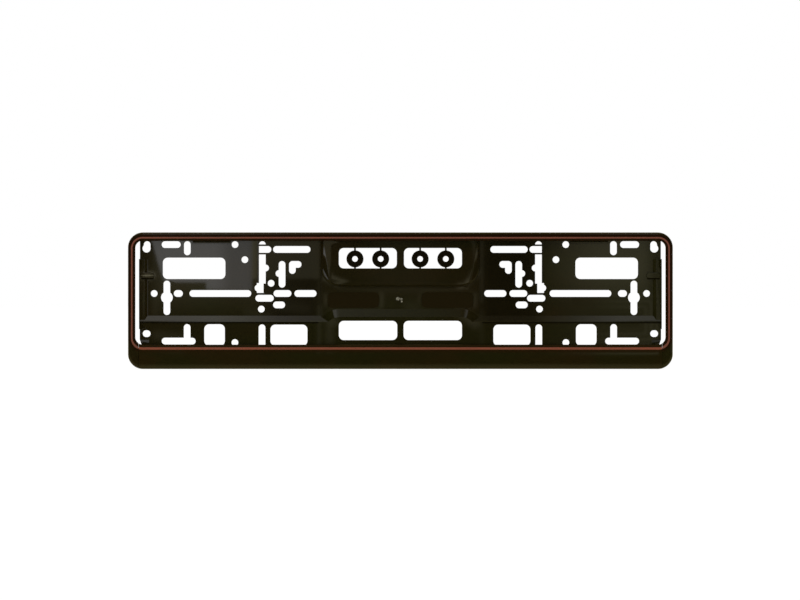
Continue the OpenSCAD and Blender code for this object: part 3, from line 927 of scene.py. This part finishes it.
@dataclass
class PlateHolder:
    """The whole holder: its two mouldings, the two beads of its line and the moulding's marks."""

    black: GlossPlastic = GlossPlastic(
        "holder_black", (0.0094, 0.0068, 0.0009), (0.0122, 0.0066, 0.0010), (0.0086, 0.0086, 0.0008),
        patches=(BADGES, WASHERS, LEDGE_FOOT_SHADE, LUG_FOOT_SHADOW, DARK_ZONE_SHADE),
        glow=LineTint())
    strip: GlossPlastic = GlossPlastic(
        "strip_black", (0.0104, 0.0074, 0.0005), (0.0132, 0.0068, 0.0006), (0.0086, 0.0086, 0.0005),
        clouds=20.0, glow=LineTint(reach=5.0, colour=(0.0150, 0.0058, 0.0007)))
    # Each line's colour is lighter at its crest and darker on its flanks: painted highlight and shade.
    line: LineFinish = LineFinish("line_film", (0.205, 0.060, 0.030), (0.05, 0.008, 0.002))
    strip_line: LineFinish = LineFinish(
        "strip_line_film", (0.27, 0.066, 0.026), (0.06, 0.010, 0.002))
    zones: Sequence[SoftZone] = (
        SoftZone((238, 256.5), (87, 96), 5, 0.55),
        SoftZone((245, 256.5), (37, 109), 2.5, 0.3),
        SoftZone((18, 74), (57.5, 77.5), 2.6, 0.25),
        SoftZone((76, 79.5), (98, 131), 2.5, 0.4),
        SoftZone((76, 79.5), (20, 55), 2.5, 0.4),
        SoftZone((75, 79.5), (55, 98), 2.5, 0.2),
    )
    back_marks: Sequence[Colour] = (
        (20, 21.5, 3.2), (50, 21.5, 3.2), (68, 35, 3.2), (82.5, 35, 3.2), (109, 18.9, 3.2),
        (152, 35, 3.2), (181.7, 19, 3.2), (220, 38, 3.2), (226, 19.5, 3.2), (243.5, 22, 3.2))
    front_marks: Sequence[Colour] = ((80.8, 121.4, 2.0), (88.0, 58.5, 2.0), (164.0, 58.5, 2.0))
    path: LinePath = field(default_factory=LinePath)
    frame_width: float = 1.7
    strip_width: float = 2.5

    def corner_widths(self, points: Sequence[Point]) -> list[float]:
        """The width of the frame's line at each point: it widens round the two lower corners."""
        low, high = self.path.strip_y, self.path.strip_y + self.path.corner_r
        shares = [min(max((high - y) / (high - low), 0.0), 1.0) for _, y in points]
        return [self.frame_width + (self.strip_width - self.frame_width) * s for s in shares]

    def build(self, nodes: dict[str, bpy.types.Object]) -> None:
        """Makes every piece.

        Args:
            nodes: The CAD nodes' objects by name.
        """
        Moulding("holder_moulding", "holder", Slot.BLACK, self.black, zones=self.zones).build(
            nodes["holder"])
        Moulding("strip_moulding", "clip_strip", Slot.STRIP, self.strip, edge_r=0.4).build(
            nodes["clip_strip"])
        frame, strip = self.path.frame(), self.path.strip()
        EdgeLine("frame_bead", "frame_line", self.line, frame, self.corner_widths(frame)).build()
        EdgeLine("strip_bead", "strip_line", self.strip_line, strip,
                 [self.strip_width] * len(strip)).build()
        EjectorMarks("back_marks", self.black, self.back_marks).build()
        EjectorMarks("front_marks", self.black, self.front_marks, -1, 1.5, 0.08).build()
        GateScar().build()


# Studio


@dataclass(frozen=True)
class Aim:
    """A place on the holder and the way that its reflection leaves.

    Attributes:
        x: The place along the length, in millimetres.
        y: Its height over the bottom edge, in millimetres.
        lift: How far up the reflection leaves, in degrees.
        turn: How far it leaves to the right, in degrees.
    """

    x: float
    y: float
    lift: float = 0.0
    turn: float = 0.0


@dataclass
class Camera:
    """The photograph's camera: straight on, through a long lens.

    Attributes:
        distance: From the back plane, in metres.
        middle: What it looks at, along the length and up, in metres.
        view_width: Width of the picture at the holder's front, in metres.
        front: Height of that front over the back plane, in metres.
        sensor: Width of its sensor, in millimetres.
    """

    distance: float = 4.0
    middle: Point = (-0.00039, -0.00637)
    view_width: float = 0.7812
    front: float = 0.0095
    sensor: float = 36.0

    def build(self) -> None:
        """Makes the camera and looks through it."""
        data = bpy.data.cameras.new("camera")
        data.sensor_width = self.sensor
        data.lens = self.sensor * (self.distance - self.front) / self.view_width
        data.clip_end = 100.0
        obj = new_object("camera", data)
        obj.location = (self.middle[0], -self.distance, self.middle[1])
        obj.rotation_euler = (math.pi / 2, 0.0, 0.0)
        bpy.context.scene.camera = obj

    def mirrored(self, aim: Aim, distance: float) -> Vector:
        """Where a card stands to show in the gloss at a place of the holder.

        Args:
            aim: The place and the way that its reflection leaves.
            distance: The card's distance from the holder, in metres.

        Returns:
            The point on the card.
        """
        spot = upright(aim.x, aim.y, 0.0)
        lift, turn = math.radians(aim.lift), math.radians(aim.turn)
        away = Vector((
            math.sin(turn) * math.cos(lift) + (spot.x - self.middle[0]) / self.distance,
            -math.cos(turn) * math.cos(lift),
            math.sin(lift) + (spot.z - self.middle[1]) / self.distance,
        ))
        return spot + away.normalized() * distance


@dataclass
class Softbox:
    """A square lamp for the even light, which shows neither in the gloss nor in the picture.

    Attributes:
        name: Its name.
        place: Its middle, in metres.
        size: Its width and height, in metres.
        glow: Its brightness, where 1 is white.
    """

    name: str
    place: Colour
    size: Point
    glow: float

    def build(self) -> None:
        """Hangs the lamp, facing the holder."""
        data = bpy.data.lights.new(self.name, "AREA")
        data.shape = "RECTANGLE"
        data.size, data.size_y = self.size
        data.energy = self.glow * math.pi * self.size[0] * self.size[1]
        obj = new_object(self.name, data)
        obj.location = self.place
        obj.rotation_euler = Vector(self.place).to_track_quat("Z", "Y").to_euler()
        obj.visible_camera = obj.visible_glossy = False


@dataclass
class Card:
    """A bright card round the holder that shows only in its gloss.

    Attributes:
        name: Its name.
        columns: Places across the card.
        rows: Places up the card.
        glow: Its brightness for a column and a row.
        aim: Where a column and a row show on the holder.
        distance: Its distance from the holder, in metres.
        colour: Its colour.
    """

    name: str
    columns: Sequence[float]
    rows: Sequence[float]
    glow: Callable[[float, float], float]
    aim: Callable[[float, float], Aim] = Aim
    distance: float = 0.9
    colour: Colour = (1.0, 1.0, 1.0)

    def build(self, camera: Camera) -> None:
        """Sets the card up.

        Args:
            camera: The camera in whose picture it shows.
        """
        places = [(column, row) for row in self.rows for column in self.columns]
        wide = len(self.columns)
        faces = [
            (j * wide + i, j * wide + i + 1, (j + 1) * wide + i + 1, (j + 1) * wide + i)
            for j in range(len(self.rows) - 1)
            for i in range(wide - 1)
        ]
        mesh = bpy.data.meshes.new(self.name)
        spots = [camera.mirrored(self.aim(*place), self.distance) for place in places]
        mesh.from_pydata(spots, [], faces)
        glow = mesh.attributes.new("glow", "FLOAT", "POINT")
        glow.data.foreach_set("value", [self.glow(*place) for place in places])
        paint = Paint(self.name)
        strength = paint.node("ShaderNodeAttribute", {"attribute_name": "glow"}, output="Fac")
        mesh.materials.append(paint.surface(paint.node(
            "ShaderNodeEmission", inputs={"Color": (*self.colour, 1.0), "Strength": strength})))
        obj = new_object(self.name, mesh)
        obj.visible_camera = obj.visible_diffuse = obj.visible_shadow = False
        obj.visible_transmission = False


def fade(value: float, start: float, end: float) -> float:
    """Falls or rises smoothly from 0 at start to 1 at end."""
    share = min(max((value - start) / (end - start), 0.0), 1.0)
    return share * share * (3.0 - 2.0 * share)


@dataclass(frozen=True)
class Smudge:
    """A soft bright spot in the haze, in millimetres as the holder shows it.

    Attributes:
        start: One end of the spot.
        end: The other end.
        width: How far it fades out sideways.
        glow: Its brightness.
    """

    start: Point
    end: Point
    width: float
    glow: float

    def at(self, x: float, y: float) -> float:
        """Its brightness at a place."""
        way = Vector(self.end) - Vector(self.start)
        off = Vector((x, y)) - Vector(self.start)
        share = min(max(off.dot(way) / way.length_squared, 0.0), 1.0)
        return self.glow * (1.0 - fade((off - way * share).length, 0.0, self.width))


SMUDGES = tuple(Smudge(*spot) for spot in (
    ((-74, 89), (-60, 82.5), 3.6, 0.75),
    ((-72.9, 72), (-72.9, 62.5), 2.6, 0.4),
    ((-18.6, 73), (-18.6, 61.5), 3.2, 0.36),
    ((-68, 57.6), (-22, 57.6), 2.6, 0.16),
    ((72.9, 74), (72.9, 61.5), 2.6, 0.4),
    ((18.6, 72), (18.6, 63), 2.6, 0.2),
    ((22, 76.8), (70, 76.8), 2.4, 0.14),
    ((-70, 50), (-64, 46), 7, 0.3),
    ((57, 81.5), (66, 84), 2.8, 0.7),
    ((66, 84), (75.5, 94), 3.2, 0.7),
    ((58, 56), (73, 45), 9, 0.35),
    ((-60, 77), (60, 79), 5, 0.12),
    ((8, 62), (20, 54), 9, 0.12),
    ((-120, 62), (-92, 58), 9, 0.1),
    ((-150, 56), (-128, 52), 7, 0.1),
    ((-69, 43), (-69, 28), 7, 0.22),
    ((-240, 70), (-240, 54), 7, 0.14),
    ((-238, 33), (-214, 30), 8, 0.2),
    ((-251, 91.4), (-243, 91.2), 4, 3.2),
    ((-140, 70), (-82, 70), 26, 0.05),
    ((-79.5, 24), (-79.5, 62), 2.6, 0.3),
    ((-79.5, 68), (-79.5, 86), 2.6, 0.12),
    ((79.5, 24), (79.5, 58), 2.6, 0.12),
    ((79.5, 66), (79.5, 128), 3, 0.22),
))


@dataclass
class Studio:
    """The white floor, the lamps, the cards and the world.

    Attributes:
        camera: The camera.
        floor_z: Height of the floor, in metres.
        floor_size: Half its width, in metres.
        ambient: Strength of the even light.
        floor_shade: Share of the floor's own shading in its white.
        floor_white: Strength of the rest of its white.
        floor_gloss: Its brightness in the holder's gloss, close to the holder.
        floor_far: That brightness far in front.
        floor_back: That brightness behind the holder.
        floor_dims: From where to where it dims in front, in millimetres.
        floor_rises: From where to where it rises behind.
        floor_ends: From where to where it falls to nothing behind.
        walls: Brightness of the dark room's left, right and back walls in the gloss.
        ceiling: Brightness of its ceiling.
        warm: Colour of the dark room that the gloss shows.
        hazy: Colour of the haze in front of it.
        smudges: The soft spots in the haze.
    """

    camera: Camera = field(default_factory=Camera)
    floor_z: float = -SLOT_LINE * MM
    floor_size: float = 30.0
    ambient: float = 0.8
    floor_shade: float = 0.2
    floor_white: float = 1.1
    floor_gloss: float = 0.3
    floor_far: float = 0.01
    floor_back: float = 0.7
    floor_dims: Point = (150.0, 420.0)
    floor_rises: Point = (20.0, 500.0)
    floor_ends: Point = (700.0, 2500.0)
    walls: Colour = (0.09, 0.05, 0.2)
    ceiling: float = 0.25
    warm: Colour = (1.0, 0.89, 0.4)
    hazy: Colour = (1.0, 0.94, 0.62)
    smudges: Sequence[Smudge] = SMUDGES

    def floor(self) -> None:
        """Lays the white floor, which keeps the holder's shadow."""
        s, z = self.floor_size, self.floor_z
        mesh = bpy.data.meshes.new("floor")
        mesh.from_pydata([(-s, -s, z), (s, -s, z), (s, s, z), (-s, s, z)], [], [(0, 1, 2, 3)])
        paint = Paint("floor_white")
        shaded = paint.node("ShaderNodeBsdfDiffuse", inputs={"Color": (0.92, 0.92, 0.92, 1.0)})
        rays = paint.node("ShaderNodeLightPath").socket.node
        seen = Wire(paint, rays.outputs[Ray.CAMERA.value])
        glossy = Wire(paint, rays.outputs[Ray.GLOSSY.value])
        z = paint.drawing()[2]
        front = z.ramp(*self.floor_dims)
        behind = 0.0 - z
        back = behind.ramp(*self.floor_rises) * (1.0 - behind.ramp(*self.floor_ends))
        gloss = (self.floor_gloss - front * (self.floor_gloss - self.floor_far)
                 + back * (self.floor_back - self.floor_gloss))
        lit = paint.node("ShaderNodeEmission", inputs={
            "Color": paint.blend(glossy, (1.0, 1.0, 1.0), self.warm),
            "Strength": seen * self.floor_white + glossy * gloss})
        white = seen * (1.0 - self.floor_shade) + glossy
        mesh.materials.append(paint.surface(
            paint.node("ShaderNodeMixShader", inputs={0: white, 1: shaded, 2: lit})))
        new_object("floor", mesh)

    def world(self) -> None:
        """Sets the world: white to the camera, even light, and a dark room to the gloss."""
        world = bpy.data.worlds.new("studio")
        world.use_nodes = True
        bpy.context.scene.world = world
        sky = Tree(world.node_tree)
        rays = sky.node("ShaderNodeLightPath").socket.node
        seen = Wire(sky, rays.outputs[Ray.CAMERA.value])
        glossy = Wire(sky, rays.outputs[Ray.GLOSSY.value])
        through = Wire(sky, rays.outputs[Ray.TRANSMISSION.value])
        place = sky.node("ShaderNodeTexCoord", output="Generated")
        parts = sky.node("ShaderNodeSeparateXYZ", inputs={0: place}).socket.node
        x, y, z = (Wire(sky, parts.outputs[axis]) for axis in "XYZ")
        left, right, rear = self.walls
        sides = (0.0 - x).ramp(0.7, 0.95) * left + x.ramp(0.7, 0.95) * right
        back = y.ramp(0.1, 0.6) * (1.0 - y.ramp(0.9, 0.98)) * rear
        room = sides + back + z.ramp(0.5, 1.0) * self.ceiling
        other = (1.0 - glossy) * self.ambient + glossy * room
        strength = (seen + through).at_most(1.0)
        level = strength + (1.0 - strength) * other
        tint = sky.node("ShaderNodeMix", {"data_type": "RGBA"}, {
            0: glossy, 6: (1.0, 1.0, 1.0, 1.0), 7: (*self.warm, 1.0)}, output=2)
        background = sky.node("ShaderNodeBackground", inputs={"Color": tint, "Strength": level})
        sky.node("ShaderNodeOutputWorld", inputs={"Surface": background})

    def cards(self) -> None:
        """Sets up the cards whose reflections the photograph shows."""
        for card in (*self.patches(), self.haze(), self.blinds(), self.overhead(), self.facet(),
                     self.rail(), *self.pockets()):
            card.build(self.camera)

    def patches(self) -> list[Card]:
        """The bright patch with a slanted left edge over the left slot field."""
        def slanted(x: float, y: float) -> Aim:
            """Slants the left edge."""
            left = 1.0 - fade(x, -243.0, -180.0)
            return Aim(x + left * (124.5 - y) * 0.3, y)

        def glow(x: float, y: float) -> float:
            """Fades towards the middle of the holder."""
            return 1.5 - 0.5 * fade(x, -182.0, -164.0) - 0.66 * fade(x, -150.0, -134.0)

        left = [-243.0 + 6.625 * i for i in range(9)]
        middle = [-190.0 + 5.0 * i for i in range(10)]
        right = [-145.0 + 6.0 * i for i in range(12)]
        return [
            Card("patch_card_left", left, [86.0, 95.0, 105.0, 115.0, 126.0], glow, slanted),
            Card("patch_card_middle", middle, [76.5, 126.0], glow),
            Card("patch_card_right", right, [88.0, 126.0], glow, colour=self.hazy),
        ]

    def haze(self) -> Card:
        """The faint haze over both ends."""
        def glow(x: float, y: float) -> float:
            """Grows towards the ends and the top edge, and holds the smudges."""
            high = 0.25 + 0.75 * fade(y, 50.0, 100.0)
            right = 0.52 * fade(x, 118.0, 205.0) * high * (1.0 - 0.6 * fade(x, 236.0, 250.0))
            left = 0.26 * fade(-x, 80.0, 200.0) * fade(y, 45.0, 80.0)
            left *= 1.0 - 0.8 * fade(-x, 234.0, 246.0)
            middle = 0.06 * (1.0 - fade(abs(x), 10.0, 60.0)) * fade(y, 40.0, 70.0)
            spots = sum(spot.at(x, y) for spot in self.smudges)
            return 0.01 + (0.01 + right + left + middle + spots) * fade(y, 18.0, 26.0)

        columns = [-264.0 + 2.0 * i for i in range(265)]
        rows = [-2.0 + 3.0 * i for i in range(45)]
        return Card("haze_card", columns, rows, glow, distance=0.95, colour=self.hazy)

    def blinds(self) -> Card:
        """The window's frames and bars, one inside the other, faint over the right end."""
        def glow(x: float, y: float) -> float:
            """Lights every other ring round the card's middle."""
            inset = min(x - 168.0, 252.0 - x, y - 22.0, 73.0 - y)
            ring = 0.5 + 0.5 * math.sin(inset * 1.15)
            return 0.12 + 0.34 * ring * (1.0 - fade(inset, 10.0, 22.0)) * fade(x, 168.0, 225.0)

        columns = [168.0 + 1.0 * i for i in range(85)]
        rows = [22.0 + 1.0 * i for i in range(52)]
        return Card("blinds_card", columns, rows, glow, distance=0.93, colour=self.hazy)

    def overhead(self) -> Card:
        """The light from above that the sloped ledges show, brighter to the left."""
        knots = ((-262, 0.9), (-180, 1), (-120, 0.5), (-80, 0.34), (0, 0.18),
                 (90, 0.03), (130, 0.04), (165, 0.22), (215, 0.65), (262, 0.6))
        level = dict(knots)
        return Card(
            "overhead_card", list(level), [24.0, 34.0, 44.0, 54.0, 64.0],
            lambda x, lift: level[x] * (0.75 + 0.25 * fade(lift, 36.0, 54.0)),
            lambda x, lift: Aim(x, 49.0, lift), 1.4)

    def facet(self) -> Card:
        """The light that the left facet of the centre panel shows."""
        return Card("facet_card", [-80.0, -62.0], [80.0, 128.0], lambda x, y: 1.1,
                    lambda x, y: Aim(x, y, -4.0, -25.0), 1.1)

    def rail(self) -> Card:
        """The light that the foot of the left rail shows."""
        return Card("rail_card", [-340.0, -160.0], [20.0, 125.0], lambda x, y: 0.6,
                    lambda x, y: Aim(x, y, 0.0, 58.0), 1.2)

    def pockets(self) -> list[Card]:
        """The light that the sloped pockets beside the slits show."""
        return [
            Card(name, [x - 30.0, x + 30.0], [5.0, 48.0], lambda x, y, level=level: level,
                 lambda x, y: Aim(x, y, 12.2), 1.0)
            for name, x, level in (("pocket_card_left", -249.0, 0.9), ("pocket_card_right", 249.0, 0.4))
        ]

    def lamps(self) -> None:
        """Hangs the softboxes over the left and the right."""
        Softbox("key", (-1.35, -2.0, 3.0), (2.4, 1.6), 0.75).build()
        Softbox("fill", (1.75, -2.0, 3.0), (2.4, 1.4), 0.45).build()

    def build(self) -> None:
        """Sets up the whole studio."""
        self.camera.build()
        self.floor()
        self.world()
        self.lamps()
        self.cards()
        bpy.context.scene.view_settings.view_transform = "Standard"


def main() -> None:
    """Loads the frame, dresses the holder and sets up the studio."""
    logging.basicConfig(level=logging.INFO, format="%(name)s: %(message)s")
    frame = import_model()
    PlateHolder().build(frame["nodes"])
    Studio().build()


if __name__ == "__main__":
    main()
